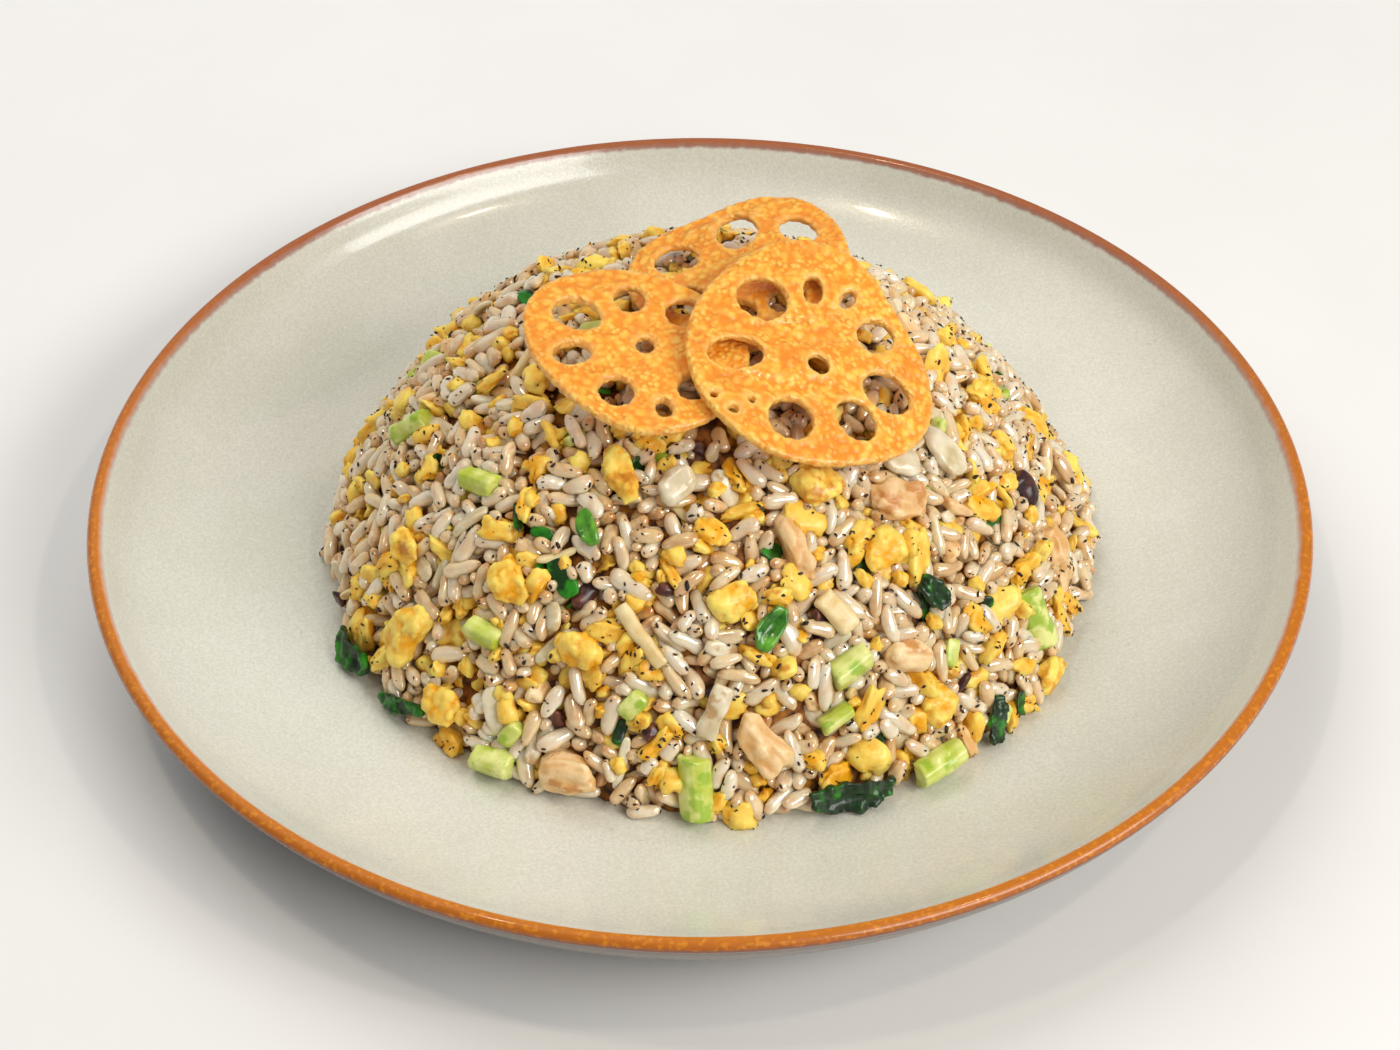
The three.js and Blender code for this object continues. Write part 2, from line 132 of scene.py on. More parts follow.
# %% Wires and finishes
class Wire:
    """An output socket of a finish, with arithmetic that adds Math nodes."""

    def __init__(self, finish, socket):
        self.finish = finish
        self.socket = socket

    def math(self, operation, *values):
        return self.finish.node("ShaderNodeMath", {"operation": operation}, values)

    def __add__(self, other):
        return self.math("ADD", self, other)

    def __sub__(self, other):
        return self.math("SUBTRACT", self, other)

    def __rsub__(self, other):
        return self.math("SUBTRACT", other, self)

    def __mul__(self, other):
        return self.math("MULTIPLY", self, other)

    __radd__ = __add__
    __rmul__ = __mul__

    def clamped(self):
        return self.finish.node("ShaderNodeClamp", {}, [self])

    def rise(self, start, end):
        """0 below start and 1 above end, smooth between. It falls if start is the larger."""
        settings = {"interpolation_type": "SMOOTHSTEP"}
        if start < end:
            return self.finish.node("ShaderNodeMapRange", settings, [self, start, end])
        return self.finish.node("ShaderNodeMapRange", settings, [self, end, start, 1.0, 0.0])


class Finish:
    """A material on one Principled shader. Constants are set on the shader's own sockets."""

    def __init__(self, name, **constants):
        self.material = bpy.data.materials.new(name)
        self.material.use_nodes = True
        self.tree = self.material.node_tree
        self.shader = self.tree.nodes["Principled BSDF"]
        for socket, value in constants.items():
            self.shader.inputs[socket.replace("_", " ")].default_value = value

    def node(self, kind, settings=None, inputs=(), output=0):
        """Adds a node: its settings, then its inputs by order or by name."""
        made = self.tree.nodes.new(kind)
        for key, value in (settings or {}).items():
            if key == "stops":
                self.set_stops(made.color_ramp, value)
            else:
                setattr(made, key, value)
        pairs = inputs.items() if isinstance(inputs, dict) else enumerate(inputs)
        for key, value in pairs:
            if isinstance(value, Wire):
                self.tree.links.new(value.socket, made.inputs[key])
            else:
                made.inputs[key].default_value = value
        return Wire(self, made.outputs[output])

    @staticmethod
    def set_stops(ramp, stops):
        while len(ramp.elements) < len(stops):
            ramp.elements.new(1.0)
        for element, (place, colour) in zip(ramp.elements, stops):
            element.position = place
            element.color = colour

    def feed(self, socket, wire):
        self.tree.links.new(wire.socket, self.shader.inputs[socket])

    def place(self):
        """The point on the surface, in metres, in the plate's own frame."""
        return self.node("ShaderNodeTexCoord", output="Object")

    def noise(self, size, detail, rough=0.5):
        """Cloudy values round 0.5 whose blobs are about size millimetres across."""
        inputs = {"Vector": self.place(), "Scale": 1 / (size * MM)}
        inputs.update(Detail=detail, Roughness=rough)
        return self.node("ShaderNodeTexNoise", {}, inputs)

    def cells(self, size, warp):
        """Distance to the nearest of many middles about size millimetres apart, from 0 to 1.
        The middles are shifted by up to warp millimetres, so that no rows show."""
        swirl = {"Vector": self.place(), "Scale": 1 / (2 * size * MM)}
        away = self.node("ShaderNodeTexNoise", {}, swirl, "Color")
        shifted = {0: warp * MM, 4: self.place(), 5: away}
        at = self.node("ShaderNodeMix", {"data_type": "VECTOR"}, shifted, 1)
        inputs = {"Vector": at, "Scale": 1 / (size * MM), "Smoothness": 0.3}
        return self.node("ShaderNodeTexVoronoi", {"feature": "SMOOTH_F1"}, inputs, "Distance")

    def value(self, name):
        """A number that the mesh stores at each point."""
        return self.node("ShaderNodeAttribute", {"attribute_name": name}, output="Fac")

    def ramp(self, wire, *stops):
        return self.node("ShaderNodeValToRGB", {"stops": stops}, [wire])

    def mix(self, share, first, second):
        """A colour between two. The node's sockets for colours are numbers 6, 7 and 2."""
        settings = {"data_type": "RGBA", "clamp_factor": True}
        return self.node("ShaderNodeMix", settings, {0: share, 6: first, 7: second}, 2)

    def dusted(self, colour):
        """A colour under a dust of finely ground pepper."""
        dust = self.noise(0.3, 1).rise(0.72, 0.78) * 0.6
        return self.mix(dust, colour, srgb(96, 66, 42))

    def bump(self, height, depth):
        """Relief of a height from 0 to 1, depth millimetres deep."""
        inputs = {"Strength": 1.0, "Distance": depth * MM, "Height": height}
        self.feed("Normal", self.node("ShaderNodeBump", {}, inputs))


def srgb(red, green, blue):
    """A colour from its 0 to 255 screen values, as the linear values that shaders use."""
    screen = np.array([red, green, blue]) / 255
    linear = np.where(screen <= 0.04045, screen / 12.92, ((screen + 0.055) / 1.055) ** 2.4)
    return (*linear.tolist(), 1.0)


# %% [markdown]
# ## Making meshes from arrays
#
# Thousands of grains are far quicker to work out as NumPy arrays than as separate objects,
# and one joined mesh per kind is light to render. These helpers turn arrays into a piece that
# rides on the dish, store numbers on its points for the finish to read, and give smooth
# random values in space, which dent and tint everything below.

# %% Mesh and noise helpers
def piece_from(name, points, faces, finish, replaces=()):
    """A piece from points in millimetres and faces that all have the same number of sides."""
    mesh = bpy.data.meshes.new(name)
    mesh.vertices.add(len(points))
    mesh.vertices.foreach_set("co", np.ravel(points * MM))
    mesh.loops.add(faces.size)
    mesh.loops.foreach_set("vertex_index", np.ravel(faces))
    mesh.polygons.add(len(faces))
    mesh.polygons.foreach_set("loop_start", np.arange(0, faces.size, faces.shape[1]))
    mesh.update(calc_edges=True)
    mesh.shade_smooth()
    piece = bpy.data.objects.new(name, mesh)
    return settle(piece, finish, replaces)


def settle(piece, finish, replaces=()):
    """Links a piece, gives it its finish, attaches it to the root and hides the CAD parts it replaces.
    """
    if piece.name not in scene.collection.objects:
        scene.collection.objects.link(piece)
    piece.data.materials.clear()
    piece.data.materials.append(finish.material)
    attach(piece, "root")
    if replaces:
        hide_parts(*replaces)
    return piece


def store(piece, name, values):
    """Keeps one number for each point of the piece's mesh."""
    layer = piece.data.attributes.new(name, "FLOAT", "POINT")
    layer.data.foreach_set("value", np.asarray(values, np.float32).ravel())


def points_of(mesh):
    points = np.empty(len(mesh.vertices) * 3, np.float32)
    mesh.vertices.foreach_get("co", points)
    return points.reshape(-1, 3).astype(float) / MM


def normals_of(mesh):
    normals = np.empty(len(mesh.vertices) * 3, np.float32)
    mesh.vertices.foreach_get("normal", normals)
    return normals.reshape(-1, 3).astype(float)


def move_points(piece, points):
    piece.data.vertices.foreach_set("co", np.ravel(points * MM))
    piece.data.update()


def scrambled(cells, salt):
    """A repeatable random number from 0 to 1 for each whole-numbered cell of space."""
    key = cells[..., 0] * 73856093 ^ cells[..., 1] * 19349663 ^ cells[..., 2] * 83492791
    key = (key + salt * 2654435761) & 0xFFFFFFFF
    key = ((key ^ key >> 15) * 2246822519) & 0xFFFFFFFF
    key = ((key ^ key >> 13) * 3266489917) & 0xFFFFFFFF
    return (key ^ key >> 16) / 0xFFFFFFFF


def waver(points, size, salt=0):
    """Smooth random values from -1 to 1 that change over about size millimetres."""
    spot = points / size
    low = np.floor(spot).astype(np.int64)
    part = spot - low
    part = part * part * (3 - 2 * part)
    total = np.zeros(points.shape[:-1])
    for corner in np.ndindex(2, 2, 2):
        share = np.prod(np.where(corner, part, 1 - part), axis=-1)
        total += share * scrambled(low + corner, salt)
    return 2 * total - 1


def bubbles(points, size, salt=0):
    """Round bumps from 0 to 1, one in each cell of size millimetres, of uneven widths."""
    spot = points / size
    low = np.floor(spot).astype(np.int64)
    height = np.zeros(points.shape[:-1])
    for corner in np.ndindex(3, 3, 3):
        cell = low + np.array(corner) - 1
        centre = cell + np.stack([scrambled(cell, salt + axis) for axis in range(3)], -1)
        reach = 0.45 + 0.4 * scrambled(cell, salt + 3)
        gap = np.linalg.norm(spot - centre, axis=-1) / reach
        height = np.maximum(height, np.sqrt(np.clip(1 - gap ** 2, 0, 1)) * reach / 0.85)
    return height


# %% [markdown]
# ## The plate
#
# It is a coupe plate: a flat floor that sweeps up to a thin rolled lip, on a foot ring. It
# was turned on a wheel, so turning a section round the axis is the natural way to make it,
# and `bmesh`'s spin does just that. The section is two smooth curves, outside and inside,
# joined by the round lip. The distance from the crest of the lip is stored on each point,
# because the glaze breaks to rust colour exactly there.

# %% Turn the plate
PLATE_RADIUS, _, PLATE_HEIGHT = box_mm("plate")[1]
FLOOR_TOP = 9.0
LIP = 1.6
FOOT_TOP = 3.6
PLATE_STEPS = 288


def flowing(corners, steps=10):
    """A curve through the corners, without sharp bends."""
    corners = np.array(corners, float)
    before = np.vstack([2 * corners[0] - corners[1], corners, 2 * corners[-1] - corners[-2]])
    part = np.linspace(0, 1, steps, endpoint=False)[:, None]
    runs = []
    for a, b, c, d in zip(before, before[1:], before[2:], before[3:]):
        bend = 2 * b + (c - a) * part + (2 * a - 5 * b + 4 * c - d) * part ** 2
        runs.append((bend + (3 * b - a - 3 * c + d) * part ** 3) / 2)
    return np.vstack([*runs, corners[-1:]])


lip_centre = np.array([PLATE_RADIUS - LIP, PLATE_HEIGHT - LIP])
lip_turn = np.radians(np.arange(0, 151, 10))[:, None]
lip_arc = lip_centre + LIP * np.hstack([np.cos(lip_turn), np.sin(lip_turn)])
outside = flowing([(71, FOOT_TOP), (100, 5.4), (113.5, 8.9), (122.6, 14.9), (127.6, 21.4), lip_arc[0]])
inside = flowing([lip_arc[-1], (121.5, 19.2), (111, 13.2), (99, 9.9), (88, FLOOR_TOP)])
foot = [(0, FOOT_TOP), (61.6, FOOT_TOP), (62.6, 0.5), (63.4, 0), (68.6, 0), (69.3, 0.5)]
section = np.vstack([foot, outside, lip_arc[1:-1], inside, [(40, FLOOR_TOP), (0, FLOOR_TOP)]])
steps = np.linalg.norm(np.diff(section, axis=0), axis=1)
run = np.concatenate([[0], np.cumsum(steps)])
crest = run[np.argmax(section[:, 1])]

wheel = bmesh.new()
rim_layer = wheel.verts.layers.float.new("inward")
rim = []
for (radius, height), distance in zip(section, run - crest):
    corner = wheel.verts.new((radius * MM, 0, height * MM))
    corner[rim_layer] = distance
    rim.append(corner)
edges = [wheel.edges.new(pair) for pair in zip(rim, rim[1:])]
bmesh.ops.spin(wheel, geom=rim + edges, axis=(0, 0, 1), cent=(0, 0, 0), angle=2 * np.pi,
               steps=PLATE_STEPS, use_merge=True)
bmesh.ops.remove_doubles(wheel, verts=wheel.verts, dist=0.01 * MM)
bmesh.ops.recalc_face_normals(wheel, faces=wheel.faces)
plate_mesh = bpy.data.meshes.new("plate_turned")
wheel.to_mesh(plate_mesh)
wheel.free()
plate_mesh.shade_smooth()
print("plate:", len(plate_mesh.polygons), "faces, radius", PLATE_RADIUS, "height", PLATE_HEIGHT)

# %% [markdown]
# ## The glaze
#
# A grey-cream reactive glaze: a smooth, shiny skin over a body full of fine iron specks. It
# pulls away from the sharp lip as it melts, so the lip turns pink, then rust orange with
# yellow streaks, then brown on the outer side, and the raw body shows grey under it. All of
# that depends only on the distance from the crest of the lip, so one ramp holds it. The lip
# is also painted a darker red-brown on the far side, as painted shade. The specks are two
# scales of noise, cut off high so that only their peaks show.

# %% Glaze the plate
BAND_FROM, BAND_TO = -6.0, 6.0
UNEVEN_RIM = 1.1
glaze = Finish("stoneware_glaze", Coat_Weight=0.35, Coat_Roughness=0.06, IOR=1.5)
inward = glaze.value("inward")
mottle = glaze.noise(1.1, 3)
inward_uneven = inward + (glaze.noise(2.2, 2) - 0.5) * UNEVEN_RIM
band = (inward_uneven - BAND_FROM) * (1 / (BAND_TO - BAND_FROM))
glaze_cream = srgb(214, 213, 201)
rim_colour = glaze.ramp(
    band,
    (0.0, srgb(140, 132, 122)), (0.2, srgb(118, 102, 94)), (0.26, srgb(128, 92, 80)),
    (0.31, srgb(132, 74, 34)), (0.355, srgb(178, 96, 0)), (0.55, srgb(192, 110, 0)),
    (0.6, srgb(212, 144, 100)), (0.66, srgb(202, 180, 164)), (0.73, glaze_cream),
)
streaks = glaze.mix(mottle.rise(0.5, 0.68) * 0.5, rim_colour, srgb(230, 148, 26))
orange = inward_uneven.rise(-2.2, -1.6) * inward_uneven.rise(0.9, 0.3)
rim_colour = glaze.mix(orange, rim_colour, streaks)
clouds = glaze.noise(34, 3)
fine = glaze.noise(0.62, 2)
freckles = glaze.noise(1.7, 3, rough=0.65)
cream = glaze.mix(clouds.rise(0.38, 0.66), glaze_cream, srgb(207, 207, 193))
cream = glaze.mix(fine.rise(0.42, 0.66) * 0.26, cream, srgb(180, 178, 158))
cream = glaze.mix(fine.rise(0.46, 0.3) * 0.26, cream, srgb(229, 229, 217))
cream = glaze.mix(freckles.rise(0.64, 0.74) * 0.22, cream, srgb(146, 136, 112))
# Painted shade: the lip on the far side of the plate is darkened to red-brown.
far_side_shade = glaze.node("ShaderNodeSeparateXYZ", {}, [glaze.place()], "Y").rise(-0.03, 0.1)
near_lip = inward_uneven.rise(-5.0, -2.8)
rim_colour = glaze.mix(far_side_shade * near_lip * 0.7, rim_colour, srgb(138, 74, 52))
glazed = inward_uneven.rise(1.9, 2.9)
glaze.feed("Base Color", glaze.mix(glazed, rim_colour, cream))
glaze.feed("Roughness", 0.16 + fine * 0.1 + orange * 0.16 + inward.rise(-2.8, -4.2) * 0.3)
glaze.bump(fine * 0.5 + glaze.noise(9, 2) * 0.8, 0.09)
settle(bpy.data.objects.new("plate_turned", plate_mesh), glaze, ["plate"])

# %% [markdown]
# ## The dome as a formula
#
# The heap keeps the outline of the bowl that shaped it, softened at its foot. A short formula
# says how deep any point lies under its surface, and which way is out. That is all that the
# packing below needs, and it works on thousands of points at once, where asking a mesh for
# the nearest face would go point by point. Slow waves move the surface in and out by a
# millimetre, as the spoon and the slump did.

# %% Depth under the dome
mound_low, mound_high = box_mm("rice_mound")
DOME_RADIUS = (mound_high - mound_low)[:2].mean() / 2
DOME_HEIGHT = mound_high[2] - mound_low[2] - 0.9
DOME_X = (mound_high + mound_low)[0] / 2
DOME_LEAN = -1.9
ROUNDNESS = 2.4
STEEPNESS = 1.2
UNEVEN = 0.9


def dome_depth(points):
    """Depth under the dome's surface in millimetres, and the outward direction."""
    height = np.clip((points[..., 2] - FLOOR_TOP) / DOME_HEIGHT, 0.004, 2)
    across = points[..., :2] - np.array([DOME_X, 0])
    across[..., 0] -= DOME_LEAN * height
    radius = np.maximum(np.linalg.norm(across, axis=-1), 0.01)
    level = (radius / DOME_RADIUS) ** ROUNDNESS + height ** STEEPNESS - 1
    slope_out = ROUNDNESS * (radius / DOME_RADIUS) ** (ROUNDNESS - 1) / DOME_RADIUS
    slope_up = STEEPNESS * height ** (STEEPNESS - 1) / DOME_HEIGHT
    steep = np.hypot(slope_out, slope_up)
    outward = np.concatenate([across * (slope_out / radius / steep)[..., None],
                              (slope_up / steep)[..., None]], -1)
    depth = -level / steep + UNEVEN * waver(points, 13, 5)
    return depth, outward


# %% [markdown]
# ## What the heap holds
#
# Fried rice is grains, with about a quarter of its surface egg, and a sprinkling of cut
# things. Each kind here has a count, a length, a width and a thickness with some spread.
# Lengths are those of cooked food: a cooked short grain is about 8 mm long and 3 mm thick.
# The kinds are drawn into one list, shuffled, and packed together, because a grain has to
# find its place beside a curd as in the pan.

# %% List the loose pieces
dice = np.random.default_rng(31)
SHELL = 7.6

KINDS = {
    "rice_plain": dict(count=1370, length=(7.9, 0.9), width=(3.15, 0.28), thick=(2.7, 0.25)),
    "rice_soy": dict(count=1180, length=(7.6, 0.9), width=(3.05, 0.26), thick=(2.65, 0.25)),
    "rice_broken": dict(count=480, length=(5.0, 0.8), width=(2.9, 0.3), thick=(2.6, 0.3)),
    "egg_curds": dict(count=520, length=(6.0, 1.7), width=(4.2, 1.0), thick=(2.7, 0.5)),
    "egg_crumbs": dict(count=640, length=(3.4, 0.8), width=(2.6, 0.5), thick=(2.0, 0.4)),
    "stalk_dice": dict(count=46, length=(5.4, 1.2), width=(4.0, 0.6), thick=(2.8, 0.4)),
    "onion_slivers": dict(count=110, length=(8.6, 2.2), width=(3.4, 0.7), thick=(1.7, 0.3)),
    "chicken_bits": dict(count=84, length=(7.4, 2.0), width=(4.2, 0.9), thick=(2.8, 0.5)),
    "ginger_sticks": dict(count=40, length=(8.6, 1.8), width=(1.9, 0.3), thick=(1.7, 0.2)),
    "leaf_scraps": dict(count=58, length=(5.6, 1.4), width=(3.4, 0.8), thick=(0.8, 0.1)),
    "dark_bits": dict(count=64, length=(4.4, 1.2), width=(2.8, 0.6), thick=(1.8, 0.4)),
}


def spread(kind, size):
    middle, sigma = KINDS[kind][size]
    drawn = dice.normal(middle, sigma, KINDS[kind]["count"])
    return np.clip(drawn, middle - 1.8 * sigma, middle + 2.2 * sigma)


length, width, thick = (np.concatenate([spread(kind, size) for kind in KINDS])
                        for size in ("length", "width", "thick"))
which = np.repeat(np.arange(len(KINDS)), [kind["count"] for kind in KINDS.values()])
total = len(which)
print("loose pieces:", total)

# %% [markdown]
# ## Shaking the pieces down
#
# Rigid body physics would pour them, but it takes minutes and lets go of the dome's shape.
# Here each piece is four balls in a row. They start anywhere in a shell under the surface,
# and again and again every two balls that overlap push each other apart, and balls that
# leave the shell, the plate, the larger pieces or the room under the chips are pushed back.
# The balls start small and reach full size halfway. After some sixty rounds what is left is a
# tight random packing of the shell. Neighbours are found by sorting the balls into cells a
# little wider than a ball.

# %% Where the loose pieces may not go
hero_nodes = sorted(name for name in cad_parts
                    if name not in ("plate", "rice_mound") and not name.startswith("lotus"))
chip_nodes = sorted(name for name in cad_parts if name.startswith("lotus"))


def measured(node):
    """Centre, axes in order of length, and half sizes of a CAD node."""
    corners = np.unique(np.round(points_of(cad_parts[node].data), 3), axis=0)
    centre = corners.mean(axis=0)
    axes = np.linalg.svd(corners - centre, full_matrices=False)[2]
    along = (corners - centre) @ axes.T
    low, high = along.min(axis=0), along.max(axis=0)
    return centre + (low + high) / 2 @ axes, axes, (high - low) / 2


heroes = {node: measured(node) for node in hero_nodes}
hero_centre = np.array([hero[0] for hero in heroes.values()])
hero_axes = np.array([hero[1] for hero in heroes.values()])
hero_half = np.array([hero[2] for hero in heroes.values()])

CEILING_STEP = 1.0
chip_corners = np.array([box_mm(node) for node in chip_nodes])
ceiling_from = np.floor(chip_corners[:, 0].min(axis=0))[:2] - 2
ceiling_to = np.ceil(chip_corners[:, 1].max(axis=0))[:2] + 2
ceiling_shape = ((ceiling_to - ceiling_from) / CEILING_STEP).astype(int) + 1
ceiling = np.full(ceiling_shape, 200.0)
graph = bpy.context.evaluated_depsgraph_get()
for node in chip_nodes:
    tree = BVHTree.FromObject(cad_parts[node], graph)
    for cell in np.ndindex(*ceiling_shape):
        x, y = (ceiling_from + np.array(cell) * CEILING_STEP) * MM
        struck = tree.ray_cast((x, y, 0.04), (0, 0, 1))[0]
        if struck is not None:
            ceiling[cell] = min(ceiling[cell], struck.z / MM)
print("larger pieces:", len(heroes), "lowest point of the chips:", round(ceiling.min(), 1))

# %% Pack the shell
BALLS = np.array([-1, -1 / 3, 1 / 3, 1])
SOFTNESS = 0.88
PUSH_SHARE, KEEP_SHARE = 0.42, 0.8
FLATTENING = 0.42
START_MARGIN, TRIALS = 1.2, 16
START_SIZE = 0.6
ball_radius = SOFTNESS * (width + thick) / 4
reach = np.maximum(length / 2 - ball_radius, 0.05)


def inside_shell(count, margin):
    """Random points spread evenly through the shell."""
    low = np.array([mound_low[0], mound_low[1], FLOOR_TOP])
    trial = dice.uniform(low, mound_high, (count * TRIALS, 3))
    depth = dome_depth(trial)[0]
    off_floor = trial[:, 2] > FLOOR_TOP + margin
    return trial[(depth > margin) & (depth < SHELL - margin) & off_floor][:count]


def neighbours(balls, owner, cell):
    """Pairs of balls of different pieces in the same or adjoining cells."""
    spot = np.floor(balls / cell).astype(np.int64) + 200
    key = (spot[:, 0] * 512 + spot[:, 1]) * 512 + spot[:, 2]
    order = np.argsort(key, kind="stable")
    sorted_key = key[order]
    found = []
    for shift in np.ndindex(3, 3, 3):
        step = ((shift[0] - 1) * 512 + shift[1] - 1) * 512 + shift[2] - 1
        if step < 0:
            continue
        first = np.searchsorted(sorted_key, key + step, "left")
        last = np.searchsorted(sorted_key, key + step, "right")
        many = last - first
        a = np.repeat(np.arange(len(balls)), many)
        b = order[np.arange(many.sum()) - np.repeat(np.cumsum(many) - many - first, many)]
        found.append(np.stack([a, b], 1)[(owner[a] != owner[b]) & ((step > 0) | (a < b))])
    return np.concatenate(found)


def pushed(balls, radius, pairs):
    """How far each ball moves to leave the balls that it overlaps."""
    a, b = pairs.T
    apart = balls[a] - balls[b]
    distance = np.maximum(np.linalg.norm(apart, axis=1), 1e-6)
    overlap = radius[a] + radius[b] - distance
    touching = overlap > 0
    a, b = a[touching], b[touching]
    move = apart[touching] * (0.5 * overlap[touching] / distance[touching])[:, None]
    moves = np.zeros_like(balls)
    for axis in range(3):
        moves[:, axis] += np.bincount(a, move[:, axis], len(balls))
        moves[:, axis] -= np.bincount(b, move[:, axis], len(balls))
    return moves


def kept_out(balls, radius):
    """How far each ball moves to stay in the shell and off the fixed things."""
    depth, outward = dome_depth(balls)
    too_high = np.maximum(0.5 * radius - depth, 0)
    too_deep = np.maximum(depth + radius - SHELL, 0)
    moves = outward * (too_deep - too_high)[:, None]
    moves[:, 2] += np.maximum(FLOOR_TOP + radius - balls[:, 2], 0)
    for centre, axes, half in zip(hero_centre, hero_axes, hero_half):
        near = np.flatnonzero(np.linalg.norm(balls - centre, axis=1) < half[0] + 3)
        local = (balls[near] - centre) @ axes.T
        room = half + radius[near, None] * 0.8
        level = np.sqrt(((local / room) ** 2).sum(axis=1)) + 1e-6
        out = local / room ** 2
        out /= np.linalg.norm(out, axis=1)[:, None] + 1e-9
        gap = np.maximum(1 - level, 0) * room.min(axis=1)
        moves[near] += (out * gap[:, None]) @ axes
    cell = np.round((balls[:, :2] - ceiling_from) / CEILING_STEP).astype(int)
    under = np.flatnonzero(((cell >= 0) & (cell < ceiling_shape)).all(axis=1)
                           & (balls[:, 2] > FLOOR_TOP + DOME_HEIGHT / 2))
    room = ceiling[tuple(cell[under].T)] - radius[under]
    moves[under, 2] -= np.maximum(balls[under, 2] - room, 0)
    return moves


centre = inside_shell(total, START_MARGIN)
outward = dome_depth(centre)[1]
heading = dice.normal(size=(total, 3))
heading -= FLATTENING * (heading * outward).sum(axis=1)[:, None] * outward
heading /= np.linalg.norm(heading, axis=1)[:, None]
owner = np.repeat(np.arange(total), len(BALLS))
ROUNDS = 66
for turn in range(ROUNDS):
    grow = min(1.0, START_SIZE + (1 - START_SIZE) * turn / (0.5 * ROUNDS))
    radius = np.repeat(ball_radius * grow, len(BALLS))
    balls = centre[:, None] + heading[:, None] * (BALLS * reach[:, None])[..., None]
    balls = balls.reshape(-1, 3)
    if turn % 5 == 0:
        pairs = neighbours(balls, owner, 2 * ball_radius.max() + 0.4)
    moves = PUSH_SHARE * pushed(balls, radius, pairs) + KEEP_SHARE * kept_out(balls, radius)
    moves = moves.reshape(total, len(BALLS), 3)
    centre += moves.mean(axis=1)
    turning = (moves * BALLS[:, None]).sum(axis=1) / (BALLS ** 2).sum()
    heading = heading * reach[:, None] + turning
    heading /= np.linalg.norm(heading, axis=1)[:, None]
depth, outward = dome_depth(centre)
print("packed in", ROUNDS, "rounds, median depth", round(float(np.median(depth)), 2), "mm")

# %% [markdown]
# ## One bead, many pieces
#
# A cooked grain is a plump, blunt-ended rod, a little flat, slightly bent, with a faint
# groove along it. A curd of egg or a crumb of chicken is a dented lump. Both start as one
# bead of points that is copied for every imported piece, stretched to its size and dented with
# noise that starts from its own place, so that no two are alike. Each copy also gets its own
# small square of the texture map, which keeps its colours apart when they are baked.

# %% Beads and their texture squares
def facing_out(points, faces, spots):
    """A bead whose triangles look outward, with its map's corners in the same order."""
    a, b, c = (points[faces[:, k]] for k in range(3))
    if (a * np.cross(b, c)).sum() < 0:
        faces, spots = faces[:, ::-1], spots[:, ::-1]
    return points, faces, spots


def rod_bead(rings, sides):
    """A unit ball as rings along X with a pole at each end: points, triangles and map."""
    turn = np.pi * np.arange(1, rings + 1) / (rings + 1)
    around = 2 * np.pi * np.arange(sides) / sides
    ring = np.stack(np.broadcast_arrays(-np.cos(turn)[:, None],
                                        np.sin(turn)[:, None] * np.cos(around),
                                        np.sin(turn)[:, None] * np.sin(around)), -1)
    points = np.vstack([(-1, 0, 0), ring.reshape(-1, 3), (1, 0, 0)])
    faces, spots = [], []
    last = len(points) - 1

    def corner(row, side):
        """Point number and map place of a corner. Row 0 and the last row are the poles."""
        if row in (0, rings + 1):
            return (0 if row == 0 else last), ((side + 0.5) / sides, row / (rings + 1))
        return 1 + (row - 1) * sides + side % sides, (side / sides, row / (rings + 1))

    for row in range(rings + 1):
        for side in range(sides):
            a, b = corner(row, side), corner(row, side + 1)
            c, d = corner(row + 1, side + 1), corner(row + 1, side)
            if row < rings:
                faces.append([a[0], d[0], c[0]])
                spots.append([a[1], d[1], c[1]])
            if row > 0:
                faces.append([a[0], c[0], b[0]])
                spots.append([a[1], c[1], b[1]])
    return facing_out(points, np.array(faces), np.array(spots))


def round_bead(cuts):
    """A unit ball of even triangles: points, triangles and map, top and bottom side by side."""
    ball = bmesh.new()
    bmesh.ops.create_icosphere(ball, subdivisions=cuts, radius=1)
    points = np.array([vert.co for vert in ball.verts])
    faces = np.array([[vert.index for vert in face.verts] for face in ball.faces])
    ball.free()
    corners = points[faces]
    half = (corners[..., 2].mean(axis=1) < 0) * 0.5
    spots = np.stack([(corners[..., 0] + 1) / 4 + half[:, None], (corners[..., 1] + 1) / 2], -1)
    return facing_out(points, faces, spots)


SURFACE_GAP = 0.05
SQUARE_MARGIN = 0.04
TILT = 0.35
# Painted shade: below PALE_DEPTH a piece's tone rises with depth, so deeper rice is darker.
PALE_DEPTH, DEPTH_SHADE = 1.6, 0.14


def laid_out(middles, local, along, across, out):
    """The points of each copy, from its own shape and its own three directions."""
    return middles[:, None] + (local[..., :1] * along[:, None] + local[..., 1:2] * across[:, None]
                               + local[..., 2:] * out[:, None])


def joined(name, bead, points, finish):
    """One piece of many copies of a bead, each with its own square of the texture map."""
    template, faces, spots = bead
    count = len(points)
    copies = np.arange(count)[:, None, None] * len(template) + faces
    piece = piece_from(name, points.reshape(-1, 3), copies.reshape(-1, 3), finish)
    across = int(np.ceil(np.sqrt(count)))
    square = np.stack(np.divmod(np.arange(count), across), 1)[:, None, None]
    laid = (square + SQUARE_MARGIN + (1 - 2 * SQUARE_MARGIN) * spots) / across
    layer = piece.data.uv_layers.new(name="OFBake")
    layer.data.foreach_set("uv", laid.ravel())
    print(name, count, "pieces", copies.size // 3, "triangles")
    return piece


